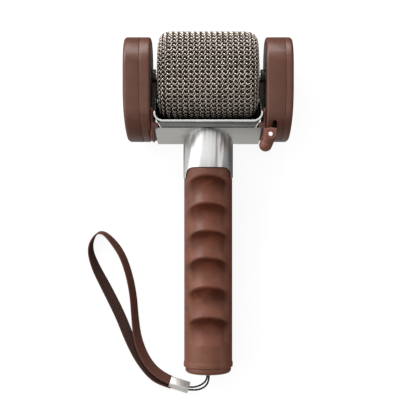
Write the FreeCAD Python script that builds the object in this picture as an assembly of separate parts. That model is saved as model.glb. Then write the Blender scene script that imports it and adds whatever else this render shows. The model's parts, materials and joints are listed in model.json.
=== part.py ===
import FreeCAD, Part
import math
import os

# Karaoke microphone lying level on its back, in millimetres.
# +Y runs along the handle towards the head, +X to the right, +Z up to the singer's side.
# The origin is under the middle of the microphone, on the surface that it rests on.

V = FreeCAD.Vector
os.makedirs("parts", exist_ok=True)

# Handle
TUBE_R = 17.5            # neck tube, also the height of the handle's axis
AXIS_Z = TUBE_R
TUBE_WALL = 1.5
CORE_R = 14.6            # plastic core tube inside the grip
CORE_WALL = 1.4
GRIP_R = 17.0
GRIP_TOP = 24.05
GRIP_END = -115.95
FLARE_LENGTH = 3.2
TONGUE_TIP = 17.25       # side tongues of the neck tube
NOTCH_Y = 24.35          # notch between the tongues
NOTCH_HALF = 15.6
NOTCH_R = 5.0
PANEL_HALF = 14.2        # front panel with the finger dents
DENT_EDGES = (19.6, 0.4, -18.8, -37.65, -58.0, -79.0, -99.4)
DENT_DEPTH = 1.1
CAP_R = 16.2
CAP_END = -120.3

# Saddle, rail and cradle under the head
SHEET = 1.2
SADDLE_LOW = 41.05       # fold line of the V saddle
SADDLE_HIGH = 51.55
SADDLE_RISE = (SADDLE_HIGH - SADDLE_LOW) / TUBE_R
SADDLE_HALF = 37.6
SADDLE_HALF_LOW = 36.4
RAIL_HALF = 34.0
RAIL_HALF_LOW = 32.7
RAIL_BACK, RAIL_FRONT = 5.0, 41.0
FLOOR_LOW = 54.65
FLOOR_HIGH = FLOOR_LOW + SHEET
CRADLE_IN = 36.0         # inner faces of the cradle's uprights
CRADLE_OUT = CRADLE_IN + SHEET
CRADLE_BACK, CRADLE_FRONT = 2.0, 48.0
CRADLE_LIP = 61.65
CRADLE_CREST = 72.5
BEND_R = 5.0

# Head
HEAD_Y, HEAD_Z = 88.15, 25.0
HEAD_HALF = 35.5
HEAD_HIGH = 31.1
HEAD_DEEP = 24.0
HEAD_POWER = 2.5         # exponent of the head's section
DOME_R = 400.0           # bulge of the head's two ends
HEAD_EDGE_R = 8.3
TRUNNION_R = 3.0
TRUNNION_BORE = 1.5
RUNNING_FIT = 0.05

# Pods
POD_IN, POD_OUT = 39.7, 58.1
POD_LOW, POD_HIGH = 42.45, 114.8
POD_DEPTH = 50.0
POD_R = 22.0
POD_WALL = 1.8
POD_TAPER_R = 300.0      # lower part of the outer face, which turns inwards
POD_TAPER_Y = 80.0
SEAM = {"left": 47.1, "right": 52.7}
SPEAKER_Y, SPEAKER_Z = HEAD_Y, HEAD_Z

# Arms and feet between cradle and pods
ARM_IN = 37.75
HUB_R = 4.9
HUB_IN = 36.6
ARM_BACK, ARM_FRONT = 16.0, 27.0
FOOT_BACK, FOOT_FRONT = 6.0, 42.0
FOOT_LOW, FOOT_HIGH = 42.8, 65.0

# Slide lever on the right pod
SLOT_X = 45.2
SLOT_HALF = 1.55
SLOT_LOW, SLOT_HIGH = 44.6, 55.5
LUG_X, LUG_Y = 41.95, 45.65
LUG_HALF = 4.05
LUG_Z = 53.2
LUG_THICK = 1.8
BARREL_R = 4.4
BARREL_TOP = V(41.5, 44.7, 49.9)
BARREL_END = V(38.85, 38.6, 47.7)

# Lanyard and strap
CORD_D = 1.0
STRAP_WIDTH = 7.6
STRAP_THICK = 1.1
CLAMP_A = V(-27.6, -129.4, 4.7)
CLAMP_B = V(-14.0, -133.7, 4.7)
CLAMP_WIDE, CLAMP_THICK = 7.2, 6.0
CLAMP_WALL = 0.9
CLAMP_ROLL = -46.0       # the clamp lies on one of its long edges


def box(x0, x1, y0, y1, z0, z1):
    return Part.makeBox(x1 - x0, y1 - y0, z1 - z0, V(x0, y0, z0))


def rod(radius, start, end):
    return Part.makeCylinder(radius, (end - start).Length, start, end - start)


def ring(outer, inner, start, end):
    return rod(outer, start, end).cut(rod(inner, start, end))


def prism(points, along):
    return Part.Face(Part.makePolygon(points + points[:1])).extrude(along)


def yz_prism(points, x0, x1):
    return prism([V(x0, y, z) for y, z in points], V(x1 - x0, 0, 0))


def xy_prism(points, z0, z1):
    return prism([V(x, y, z0) for x, y in points], V(0, 0, z1 - z0))


def mirrored(shape):
    return shape.mirror(V(0, 0, 0), V(1, 0, 0))


def sided(shape, side):
    return mirrored(shape) if side == "left" else shape


def rounded(shape, radius, picked):
    edges = [e for e in shape.Edges if picked(e.BoundBox)]
    for size in (radius, 0.8 * radius, 0.5 * radius):
        try:
            result = shape.makeFillet(size, edges)
        except Exception:
            continue
        if result.isValid() and result.Volume > 0:
            return result
    print("left sharp: radius", radius, "on", len(edges), "edges")
    return shape


def save(name, shape, *more):
    solids = [s for item in (shape,) + more for s in item.Solids]
    for solid in solids:
        if not solid.isValid():
            print("not valid:", name)
    whole = solids[0] if len(solids) == 1 else Part.makeCompound(solids)
    whole.exportStep("parts/" + name + ".step")


# ---- handle ----

def axis_point(y):
    return V(0, y, AXIS_Z)


def saddle_notch(lift):
    """The V of the saddle at its fold, raised by lift: its lowest y, and its two z at the top."""
    half = (SADDLE_HIGH - SADDLE_LOW - lift) / SADDLE_RISE
    return SADDLE_LOW + lift, AXIS_Z - half, AXIS_Z + half


def neck_tube():
    tube = ring(TUBE_R, TUBE_R - TUBE_WALL, axis_point(TONGUE_TIP), axis_point(SADDLE_HIGH))
    tube = tube.cut(yz_prism(saddle_seat(), -TUBE_R - 1, TUBE_R + 1))
    return tube.cut(notch(0))


def saddle_seat():
    past = 1.0
    low, back, front = saddle_notch(0)
    top = SADDLE_HIGH + past * SADDLE_RISE
    front += past
    back -= past
    return [(low, AXIS_Z), (top, front), (top + past, front), (top + past, back), (top, back)]


def notch(gap):
    half, high = NOTCH_HALF - gap, NOTCH_Y - gap
    block = box(-half, half, 0, high, -1, 2 * TUBE_R + 1)
    return rounded(block, NOTCH_R - gap, lambda b: b.ZLength > TUBE_R and b.YMin > high - 0.1)


def core_tube():
    return ring(CORE_R, CORE_R - CORE_WALL, axis_point(-108.0), axis_point(40.0))


def dent(high, low):
    depth = DENT_DEPTH
    top = 2 * AXIS_Z - (AXIS_Z - GRIP_R)
    points = [(high, top + 1), (high, top - 0.2), (high - 3.0, top - depth)]
    points += [(low + 6.0, top - 0.3 * depth), (low, top + 0.05), (low, top + 1)]
    return yz_prism(points, -PANEL_HALF, PANEL_HALF)


def grip_sleeve():
    bore = CORE_R + 0.02
    sleeve = rod(GRIP_R, axis_point(GRIP_END), axis_point(GRIP_TOP))
    flare = rod(TUBE_R, axis_point(GRIP_END), axis_point(GRIP_END + FLARE_LENGTH))
    sleeve = sleeve.fuse(flare)
    for high, low in zip(DENT_EDGES, DENT_EDGES[1:]):
        sleeve = sleeve.cut(dent(high, low))
    sleeve = sleeve.cut(rod(bore, axis_point(GRIP_END - 1), axis_point(GRIP_TOP + 1)))
    recess_r = TUBE_R - TUBE_WALL - 0.05
    recess = ring(TUBE_R + 1, recess_r, axis_point(TONGUE_TIP - 0.2), axis_point(GRIP_TOP + 1))
    return sleeve.cut(recess.cut(notch(0.2)))


def end_cap():
    cap = rod(CAP_R, axis_point(CAP_END), axis_point(GRIP_END))
    cap = rounded(cap, 2.4, lambda b: b.YMax < CAP_END + 0.1)
    cap = cap.fuse(rod(CORE_R - CORE_WALL - 0.02, axis_point(GRIP_END), axis_point(-104.0)))
    cap = cap.cut(rod(10.5, axis_point(-113.0), axis_point(-103.0)))
    cap = cap.cut(rod(2.4, axis_point(CAP_END - 1), axis_point(CAP_END + 2.0)))
    for screw in end_cap_screw_places():
        cap = cap.cut(screw_form(screw, V(0, 1, 0), 1.1, 2.2, 0.9, 5.0))
    return cap


def end_cap_screw_places():
    return [V(x, CAP_END, AXIS_Z) for x in (-9.0, 9.0)]


def screw_form(head, direction, shank_r, head_r, head_high, length):
    inner = head + direction * head_high
    return rod(head_r, head, inner).fuse(rod(shank_r, inner, head + direction * length))


def socket_screw(head, direction, shank_r, head_r, head_high, length):
    screw = screw_form(head, direction, shank_r, head_r, head_high, length)
    return screw.cut(rod(0.45 * head_r, head, head + direction * 0.6 * head_high))


def lanyard_eyelet():
    eyelet = ring(2.4, 1.35, axis_point(CAP_END), axis_point(CAP_END + 2.0))
    return eyelet.fuse(rod(2.4, axis_point(CAP_END + 1.0), axis_point(CAP_END + 2.0)))


def battery_tray():
    tray = ring(11.4, 9.6, axis_point(-88.0), axis_point(-14.0))
    for y in (-88.0, -15.2):
        tray = tray.fuse(rod(9.7, axis_point(y), axis_point(y + 1.2)))
    return tray.cut(box(-20, 20, -89, -13, AXIS_Z + 3, 60))


def battery_cell():
    cell = rod(9.1, axis_point(-84.0), axis_point(-19.0))
    return cell.fuse(rod(3.0, axis_point(-19.0), axis_point(-18.0)))


def battery_contacts():
    front = rod(4.5, axis_point(-18.0), axis_point(-15.2))
    back = Part.makeCone(5.5, 3.0, 2.8, axis_point(-86.8), V(0, 1, 0))
    return front, back


def amplifier_board():
    board = box(-11.0, 11.0, -8.0, 36.0, AXIS_Z - 0.8, AXIS_Z + 0.8)
    for x, y, w, d, h in ((-6, 2, 6, 6, 1.2), (3, 6, 5, 9, 2.0), (-5, 18, 8, 8, 1.4), (5, 25, 4, 4, 3.0)):
        board = board.fuse(box(x - w / 2, x + w / 2, y - d / 2, y + d / 2, AXIS_Z + 0.8, AXIS_Z + 0.8 + h))
    return board


# ---- saddle, rail, cradle ----

def saddle_bracket():
    slope = math.hypot(1, SADDLE_RISE)
    low, back, front = saddle_notch(SHEET * slope)
    points = [(SADDLE_HIGH, 0), (SADDLE_LOW, AXIS_Z), (SADDLE_HIGH, 2 * TUBE_R)]
    points += [(SADDLE_HIGH, front), (low, AXIS_Z), (SADDLE_HIGH, back)]
    saddle = yz_prism(points, -SADDLE_HALF, SADDLE_HALF)
    sides = [(-SADDLE_HALF, SADDLE_HIGH + 1), (-SADDLE_HALF, SADDLE_HIGH - 1)]
    sides.append((-SADDLE_HALF_LOW, SADDLE_LOW - 1))
    sides += [(-x, y) for x, y in reversed(sides)]
    saddle = saddle.common(xy_prism(sides, -1, 2 * TUBE_R + 1))
    return saddle.cut(rod(5.0, axis_point(30), axis_point(60)))


def yoke_bar():
    low, back, front = saddle_notch(1.8)
    flat = 1.5
    low += flat * SADDLE_RISE
    top = SADDLE_HIGH
    points = [(low, AXIS_Z - flat), (low, AXIS_Z + flat), (top, front), (top, back)]
    bar = yz_prism(points, -ARM_IN, ARM_IN)
    ridge = RAIL_HALF_LOW - SHEET - 0.1
    bar = bar.fuse(box(-ridge, ridge, top, FLOOR_LOW - SHEET, 8.0, 30.0))
    bar = bar.cut(rod(5.0, axis_point(30), axis_point(60)))
    return cut_screws(bar, cradle_screw_places(), cradle_screw_cut)


def rail_outline(y0, y1, inset):
    rate = (RAIL_HALF - RAIL_HALF_LOW) / (FLOOR_LOW - SADDLE_HIGH)
    wide = [RAIL_HALF_LOW - inset + rate * (y - SADDLE_HIGH) for y in (y0, y1)]
    return [(-wide[0], y0), (wide[0], y0), (wide[1], y1), (-wide[1], y1)]


def cradle_rail():
    rail = xy_prism(rail_outline(SADDLE_HIGH, FLOOR_LOW, 0), RAIL_BACK, RAIL_FRONT)
    inside = rail_outline(SADDLE_HIGH - 1, FLOOR_LOW - SHEET, SHEET)
    rail = rail.cut(xy_prism(inside, RAIL_BACK + SHEET, RAIL_FRONT - SHEET))
    rail = rail.cut(rod(5.0, axis_point(50), axis_point(60)))
    return cut_screws(rail, cradle_screw_places(), cradle_screw_cut)


def cradle_screw_places():
    return [V(x, FLOOR_HIGH, AXIS_Z) for x in (-24.0, 24.0)]


def cradle_screw_cut(place):
    return screw_form(place, V(0, -1, 0), 1.5, 2.7, 0.9, 9.0)


def cut_screws(shape, places, form):
    for place in places:
        shape = shape.cut(form(place))
    return shape


def cradle_bend(bounds):
    return bounds.ZLength > 10 and bounds.YMax < FLOOR_HIGH + 0.1 and abs(bounds.XMin) > 30


def cradle():
    outer = [(-CRADLE_OUT, FLOOR_LOW), (CRADLE_OUT, FLOOR_LOW)]
    outer += [(CRADLE_OUT, CRADLE_CREST), (-CRADLE_OUT, CRADLE_CREST)]
    inner = [(-CRADLE_IN, FLOOR_HIGH), (CRADLE_IN, FLOOR_HIGH), (CRADLE_IN, CRADLE_CREST + 1)]
    inner += [(-CRADLE_IN, CRADLE_CREST + 1)]
    block = rounded(xy_prism(outer, CRADLE_BACK, CRADLE_FRONT), BEND_R + SHEET, cradle_bend)
    hollow = rounded(xy_prism(inner, CRADLE_BACK - 1, CRADLE_FRONT + 1), BEND_R, cradle_bend)
    sheet = block.cut(hollow)
    side = [(FLOOR_LOW - 1, CRADLE_BACK - 1), (CRADLE_LIP, CRADLE_BACK - 1), (CRADLE_LIP, CRADLE_BACK + 3)]
    side += [(CRADLE_CREST, HEAD_Z - 3), (CRADLE_CREST, HEAD_Z + 3), (CRADLE_LIP, CRADLE_FRONT - 3)]
    side += [(CRADLE_LIP, CRADLE_FRONT + 1), (FLOOR_LOW - 1, CRADLE_FRONT + 1)]
    sheet = sheet.common(yz_prism(side, -CRADLE_OUT - 1, CRADLE_OUT + 1))
    sheet = sheet.cut(rod(5.0, axis_point(50), axis_point(60)))
    return cut_screws(sheet, cradle_screw_places(), cradle_screw_cut)


# ---- arms ----

def hub_point(x):
    return V(x, HEAD_Y, HEAD_Z)


def foot():
    upright = box(ARM_IN, POD_IN, FOOT_LOW, FOOT_HIGH, FOOT_BACK, FOOT_FRONT)
    upright = rounded(upright, 6.0, lambda b: b.XLength > 1 and b.YMax < FOOT_LOW + 0.1)
    upright = rounded(upright, 2.5, lambda b: b.XLength > 1 and b.YMin > FOOT_HIGH - 0.1)
    ledge = box(RAIL_HALF + 0.4, ARM_IN, SADDLE_HIGH, FLOOR_LOW, FOOT_BACK, FOOT_FRONT)
    return upright.fuse(ledge)


def arm():
    hub = rod(HUB_R, hub_point(HUB_IN), hub_point(POD_IN))
    web = box(ARM_IN, POD_IN, FOOT_HIGH, HEAD_Y, ARM_BACK, ARM_FRONT)
    near = box(HUB_IN - 1.2, POD_IN, CRADLE_CREST + 0.5, HEAD_Y, ARM_BACK, ARM_FRONT)
    web = web.fuse(near).cut(head_sweep(0.5))
    web = web.cut(rod(HUB_R - 0.5, hub_point(30), hub_point(45)))
    body = hub.fuse(web)
    return body.cut(rod(bush_outer(), hub_point(30), hub_point(45)))


def bush_outer():
    return TRUNNION_R + 0.95


def bush():
    return ring(bush_outer(), TRUNNION_R + RUNNING_FIT, hub_point(HUB_IN), hub_point(POD_IN))


# ---- pods ----

def stadium(inset, x0, x1):
    y0, y1 = POD_LOW + inset, POD_HIGH - inset
    block = box(x0, x1, y0, y1, inset, POD_DEPTH - inset)
    return rounded(block, POD_R - inset, lambda b: b.XLength > 0.5)


def outer_face(x):
    drop = x - POD_TAPER_R
    low = POD_LOW - 5
    at_low = drop + math.sqrt(POD_TAPER_R**2 - (POD_TAPER_Y - low)**2)
    half = (POD_TAPER_Y - low) / 2
    middle = drop + math.sqrt(POD_TAPER_R**2 - half**2)
    arc = Part.Arc(V(at_low, low, -1), V(middle, POD_TAPER_Y - half, -1), V(x, POD_TAPER_Y, -1))
    high = POD_HIGH + 5
    lines = [V(x, POD_TAPER_Y, -1), V(x, high, -1), V(0, high, -1), V(0, low, -1), V(at_low, low, -1)]
    edges = [arc.toShape()] + [Part.makeLine(a, b) for a, b in zip(lines, lines[1:])]
    return Part.Face(Part.Wire(edges)).extrude(V(0, 0, POD_DEPTH + 2))


def pod_form():
    form = stadium(0, POD_IN, POD_OUT + 1).common(outer_face(POD_OUT))
    form = rounded(form, 2.4, lambda b: b.XMax > POD_OUT - 9 and b.XMin > POD_IN + 1)
    return rounded(form, 1.6, lambda b: b.XMax < POD_IN + 0.1)


def pod_shell():
    cavity = stadium(POD_WALL, POD_IN + POD_WALL, POD_OUT + 1).common(outer_face(POD_OUT - POD_WALL))
    return pod_form().cut(cavity)


def speaker_point(x):
    return V(x, SPEAKER_Y, SPEAKER_Z)


def pod_screw_places():
    return [V(POD_IN + 1.0, y, z) for y in (60.0, 104.0) for z in (14.0, 36.0)]


def inner_shell(side):
    shell = pod_shell().common(outer_face(SEAM[side]))
    shell = shell.cut(stadium(5.0, POD_IN - 1, POD_IN + 1.0))
    shell = shell.cut(rod(TRUNNION_R + 1.5, hub_point(30), hub_point(45)))
    for place in pod_screw_places():
        shell = shell.cut(rod(1.3, place - V(3, 0, 0), place + V(3, 0, 0)))
    if side == "right":
        shell = shell.cut(slot_cut())
    return shell


def side_plate():
    plate = stadium(5.1, POD_IN + 0.2, POD_IN + 1.0)
    return plate.cut(rod(TRUNNION_R + 1.5, hub_point(30), hub_point(45)))


def outer_cover(side):
    cover = pod_shell().cut(outer_face(SEAM[side] + 0.2))
    cover = cover.cut(rod(17.2, speaker_point(POD_OUT - 1.5), speaker_point(POD_OUT + 2)))
    return cover.cut(rod(15.5, speaker_point(POD_IN + 5), speaker_point(POD_OUT + 2)))


def seam_gasket(side):
    band = stadium(POD_WALL + 0.05, 0, POD_OUT).cut(stadium(POD_WALL + 1.0, -1, POD_OUT + 1))
    reach = 1.5
    band = band.common(box(POD_IN + POD_WALL + 0.1, POD_OUT, 0, 200, -10, 60))
    return band.common(outer_face(SEAM[side] + reach)).cut(outer_face(SEAM[side] - reach))


def speaker_grille():
    start, end = speaker_point(POD_OUT - 1.45), speaker_point(POD_OUT - 0.25)
    disc = rod(17.1, start, end)
    pitch = 3.3
    holes = []
    for row in range(-5, 6):
        for column in range(-5, 6):
            y = pitch * (column + 0.5 * (row % 2))
            z = pitch * row * math.sqrt(3) / 2
            if math.hypot(y, z) < 13.6:
                holes.append(rod(1.1, start + V(-1, y, z), end + V(1, y, z)))
    return disc.cut(holes)


def speaker_basket():
    flange = ring(17.4, 14.6, speaker_point(POD_OUT - 3.3), speaker_point(POD_OUT - 2.1))
    outer = Part.makeCone(9.5, 15.6, 5.2, speaker_point(POD_OUT - 8.3), V(1, 0, 0))
    inner = Part.makeCone(8.5, 14.6, 5.2, speaker_point(POD_OUT - 8.3), V(1, 0, 0))
    basket = flange.fuse(outer.cut(inner))
    for k in range(6):
        window = box(POD_OUT - 7.6, POD_OUT - 4.2, -2.6, 2.6, 5, 30)
        window.rotate(V(0, 0, 0), V(1, 0, 0), 60 * k)
        window.translate(V(0, SPEAKER_Y, SPEAKER_Z))
        basket = basket.cut(window)
    return basket


def speaker_magnet():
    return rod(9.5, speaker_point(POD_OUT - 13.4), speaker_point(POD_OUT - 8.3))


def speaker_cone():
    outer = Part.makeCone(4.5, 14.2, 5.0, speaker_point(POD_OUT - 7.4), V(1, 0, 0))
    inner = Part.makeCone(4.0, 13.7, 5.0, speaker_point(POD_OUT - 7.4), V(1, 0, 0))
    inner = inner.cut(rod(5.5, speaker_point(POD_OUT - 8), speaker_point(POD_OUT - 6.6)))
    return outer.cut(inner)


def pod_screws():
    heads = [place + V(0.2, 0, 0) for place in pod_screw_places()]
    return [socket_screw(head, V(1, 0, 0), 1.2, 1.25, 0.8, 3.0) for head in heads]


# ---- right pod: board, switch and lever ----

def slot_cut():
    body = box(SLOT_X - SLOT_HALF, SLOT_X + SLOT_HALF, SLOT_LOW, SLOT_HIGH, 33.0, POD_DEPTH + 5)
    return rounded(body, 1.5, lambda b: b.ZLength > 5)


def main_board():
    board = box(42.0, 43.0, 48.0, 100.0, 17.0, 33.0)
    return board.cut(rod(TRUNNION_R + 2.0, hub_point(30), hub_point(45)))


def slide_switch():
    return box(43.0, 47.4, 46.5, 56.5, 24.0, 31.5)


def lug_plate():
    plate = rod(LUG_HALF, V(LUG_X, LUG_Y + 0.35, LUG_Z), V(LUG_X, LUG_Y + 0.35, LUG_Z + LUG_THICK))
    high = LUG_Y + 4.05
    low = LUG_Y + 0.35
    plate = plate.fuse(box(LUG_X - LUG_HALF, LUG_X + LUG_HALF, low, high, LUG_Z, LUG_Z + LUG_THICK))
    plate = rounded(plate, 0.5, lambda b: b.ZMin > LUG_Z + LUG_THICK - 0.1)
    return plate.cut(lug_pin_rod())


def lug_pin_rod():
    return rod(1.4, V(LUG_X, LUG_Y, 50.5), V(LUG_X, LUG_Y, LUG_Z + LUG_THICK + 0.5))


def lever_pin():
    return rounded(lug_pin_rod(), 0.4, lambda b: b.ZMin > LUG_Z + LUG_THICK)


def lever_barrel():
    axis = BARREL_TOP - BARREL_END
    barrel = rod(BARREL_R, BARREL_END, BARREL_TOP).fuse(Part.makeSphere(BARREL_R, BARREL_END))
    groove_at = BARREL_END + axis * 0.42
    step = axis * (0.6 / axis.Length)
    barrel = barrel.cut(ring(BARREL_R + 1, BARREL_R - 0.35, groove_at, groove_at + step))
    barrel = barrel.cut(box(20, 60, 20, 60, LUG_Z, LUG_Z + 10))
    return barrel.cut(lug_pin_rod())


def lever_slider():
    stem = box(SLOT_X - 1.1, SLOT_X + 1.1, 46.9, 49.4, 32.4, LUG_Z)
    return stem.fuse(box(SLOT_X - 2.0, SLOT_X + 2.0, 46.7, 49.6, 32.0, 33.2))


# ---- head ----

def super_section(x, high, deep):
    steps = 48
    points = []
    for k in range(steps):
        angle = 2 * math.pi * k / steps
        c, s = math.cos(angle), math.sin(angle)
        y = math.copysign(abs(c) ** (2 / HEAD_POWER), c) * high
        z = math.copysign(abs(s) ** (2 / HEAD_POWER), s) * deep
        points.append(V(x, HEAD_Y + y, HEAD_Z + z))
    curve = Part.BSplineCurve()
    curve.interpolate(points, PeriodicFlag=True)
    return Part.Face(Part.Wire(curve.toShape()))


def dome_profile(half, reach):
    sag = DOME_R - math.sqrt(DOME_R**2 - reach**2)
    sag_mid = DOME_R - math.sqrt(DOME_R**2 - reach**2 / 4)
    offsets = [(half, 0), (half - sag_mid, reach / 2), (half - sag, reach)]
    right = [hub_point(x) + V(0, r, 0) for x, r in offsets]
    left = [hub_point(-x) + V(0, r, 0) for x, r in offsets]
    across = Part.makeLine(right[2], left[2])
    axis = Part.makeLine(right[0], left[0])
    right = Part.Arc(*right).toShape()
    left = Part.Arc(*left).toShape()
    wire = Part.Wire(Part.__sortEdges__([right, across, left, axis]))
    return Part.Face(wire).revolve(hub_point(0), V(1, 0, 0), 360)


def head_form(inset):
    prism_form = super_section(-HEAD_HALF - 2, HEAD_HIGH - inset, HEAD_DEEP - inset)
    prism_form = prism_form.extrude(V(2 * HEAD_HALF + 4, 0, 0))
    form = prism_form.common(dome_profile(HEAD_HALF - inset, HEAD_HIGH + 4))
    return rounded(form, HEAD_EDGE_R - 0.4 * inset, lambda b: b.XLength < 12)


def head_sweep(gap):
    return dome_profile(HEAD_HALF + gap, HEAD_HIGH + gap)


def mesh_grille():
    grille = head_form(0).cut(head_form(1.3))
    return grille.cut(rod(TRUNNION_R + 0.1, hub_point(-50), hub_point(50)))


def foam_liner():
    foam = head_form(1.5).cut(head_form(5.0))
    return foam.cut(rod(5.3, hub_point(-50), hub_point(50)))


def head_frame():
    frame = None
    for x in (-27.5, 25.5):
        disc = super_section(x, HEAD_HIGH - 9.0, HEAD_DEEP - 7.0).extrude(V(2.0, 0, 0))
        frame = disc if frame is None else frame.fuse(disc)
    for y in (-17.0, 17.0):
        for z in (-11.0, 11.0):
            frame = frame.fuse(rod(1.6, hub_point(-26) + V(0, y, z), hub_point(26) + V(0, y, z)))
    for x in (-1, 1):
        frame = frame.fuse(rod(5.0, hub_point(26.0 * x), hub_point(34.0 * x)))
    for z in (-11.0, 11.0):
        frame = frame.fuse(box(-2.0, 2.0, HEAD_Y - 17, HEAD_Y + 17, HEAD_Z + z - 1.2, HEAD_Z + z + 1.2))
    hoop = ring(11.8, 10.0, hub_point(0) + V(0, 3, 0), hub_point(0) + V(0, 9, 0))
    frame = frame.fuse(hoop).cut(rod(10.0, capsule_point(0), capsule_point(12)))
    return frame.cut(rod(TRUNNION_R, hub_point(-50), hub_point(50)).cut(box(-28.4, 28.4, 0, 200, 0, 60)))


def capsule_point(y):
    return V(0, HEAD_Y + y, HEAD_Z)


def capsule():
    body = rod(7.8, capsule_point(1.5), capsule_point(11.0))
    body = rounded(body, 0.8, lambda b: b.YMin > HEAD_Y + 10.9)
    for k in range(7):
        angle = 2 * math.pi * k / 6
        reach = 0 if k == 6 else 4.0
        at = V(reach * math.cos(angle), 0, reach * math.sin(angle))
        body = body.cut(rod(0.8, capsule_point(10.0) + at, capsule_point(11.5) + at))
    return body


def capsule_mount():
    return ring(10.0, 7.8, capsule_point(3.0), capsule_point(9.0))


def trunnion():
    pin = rod(TRUNNION_R, hub_point(28.5), hub_point(POD_IN + 1.2))
    return pin.cut(rod(TRUNNION_BORE, hub_point(28), hub_point(POD_IN + 2)))


# ---- lanyard and strap ----

# Both routes are points from one end of the cord to the other. The lanyard leaves the
# end cap, passes round the clamp's bar and comes back. The strap leaves the clamp and returns to it.
LANYARD_ROUTE = [
    (-0.65, -118.65, 17.5), (-0.65, -122.3, 17.1), (-1.0, -125.6, 14.6), (-2.4, -128.6, 11.0),
    (-5.4, -131.4, 7.2), (-9.3, -133.2, 4.6), (-12.9, -133.5, 3.6), (-15.9, -133.0, 3.4),
    (-18.5, -132.2, 3.4), (-19.1, -134.6, 3.4), (-16.4, -135.3, 3.4),
    (-12.6, -135.4, 3.6), (-8.2, -135.3, 4.8), (-4.2, -133.6, 7.8), (-1.2, -130.6, 11.8),
    (0.2, -127.0, 15.2), (0.65, -122.6, 17.2), (0.65, -118.65, 17.5)]
STRAP_ROUTE = [
    (-26.6, -131.6), (-33.5, -129.4), (-40.8, -124.9), (-49.8, -113.2), (-56.9, -99.1),
    (-63.9, -81.4), (-73.3, -62.4), (-82.0, -45.8), (-85.8, -32.7), (-81.9, -23.2),
    (-76.9, -21.1), (-70.9, -25.5), (-62.5, -36.7), (-57.4, -50.8), (-54.1, -67.0),
    (-53.0, -82.8), (-51.1, -99.0), (-45.1, -113.9), (-35.5, -124.7), (-26.1, -128.7)]


def smooth_path(points, name):
    points = [V(*p) if len(p) == 3 else V(p[0], p[1], 0) for p in points]
    edges, radii, start = [], [], points[0]
    for before, corner, after in zip(points, points[1:], points[2:]):
        into, out = corner - before, after - corner
        turn = into.getAngle(out)
        reach = 0.45 * min(into.Length, out.Length)
        radius = reach / math.tan(turn / 2)
        radii.append(radius)
        first = corner - into * (reach / into.Length)
        last = corner + out * (reach / out.Length)
        bisector = (last - corner).normalize() + (first - corner).normalize()
        to_centre = bisector.normalize() * math.hypot(radius, reach)
        middle = corner + to_centre - to_centre.normalize() * radius
        edges.append(Part.makeLine(start, first))
        edges.append(Part.Arc(first, middle, last).toShape())
        start = last
    edges.append(Part.makeLine(start, points[-1]))
    path = Part.Wire(edges)
    print(name, "length", round(path.Length, 1), "radii", [round(r, 1) for r in radii])
    return path


def cord_tube(route, diameter, name):
    path = smooth_path(route, name)
    start, direction = V(*route[0]), V(*route[1]) - V(*route[0])
    section = Part.Wire(Part.makeCircle(diameter / 2, start, direction))
    tube = path.makePipeShell([section], True, False)
    expected = math.pi * diameter**2 / 4 * path.Length
    print(name, "volume over section times length", round(tube.Volume / expected, 4))
    return tube


def lanyard_cord():
    return cord_tube(LANYARD_ROUTE, CORD_D, "lanyard")


def strap():
    path = smooth_path(STRAP_ROUTE, "strap")
    start, onward = V(*STRAP_ROUTE[0], 0), V(*STRAP_ROUTE[1], 0)
    along = (onward - start).normalize()
    across = V(-along.y, along.x, 0) * (STRAP_THICK / 2)
    up = V(0, 0, STRAP_WIDTH)
    corners = [start - across, start + across, start + across + up, start - across + up]
    section = Part.makePolygon(corners + corners[:1])
    band = path.makePipeShell([section], True, False)
    expected = STRAP_THICK * STRAP_WIDTH * path.Length
    print("strap volume over section times length", round(band.Volume / expected, 4))
    return band


def strap_clamp():
    length = (CLAMP_B - CLAMP_A).Length
    half_wide, half_thick = CLAMP_WIDE / 2, CLAMP_THICK / 2
    block = box(0, length, -half_wide, half_wide, -half_thick, half_thick)
    block = rounded(block, 1.2, lambda b: b.XLength > 5)
    wide, thick = half_wide - CLAMP_WALL, half_thick - CLAMP_WALL
    pocket = box(-1, length - 2.0, -wide, wide, -thick, thick)
    mouth = box(length - 3.0, length + 1, -wide, wide, -1.4, 1.4)
    clamp = block.cut(pocket).cut(mouth)
    clamp.rotate(V(0, 0, 0), V(1, 0, 0), CLAMP_ROLL)
    heading = math.degrees(math.atan2(CLAMP_B.y - CLAMP_A.y, CLAMP_B.x - CLAMP_A.x))
    clamp.rotate(V(0, 0, 0), V(0, 0, 1), heading)
    clamp.translate(CLAMP_A)
    return clamp


# ---- write every piece ----

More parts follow.
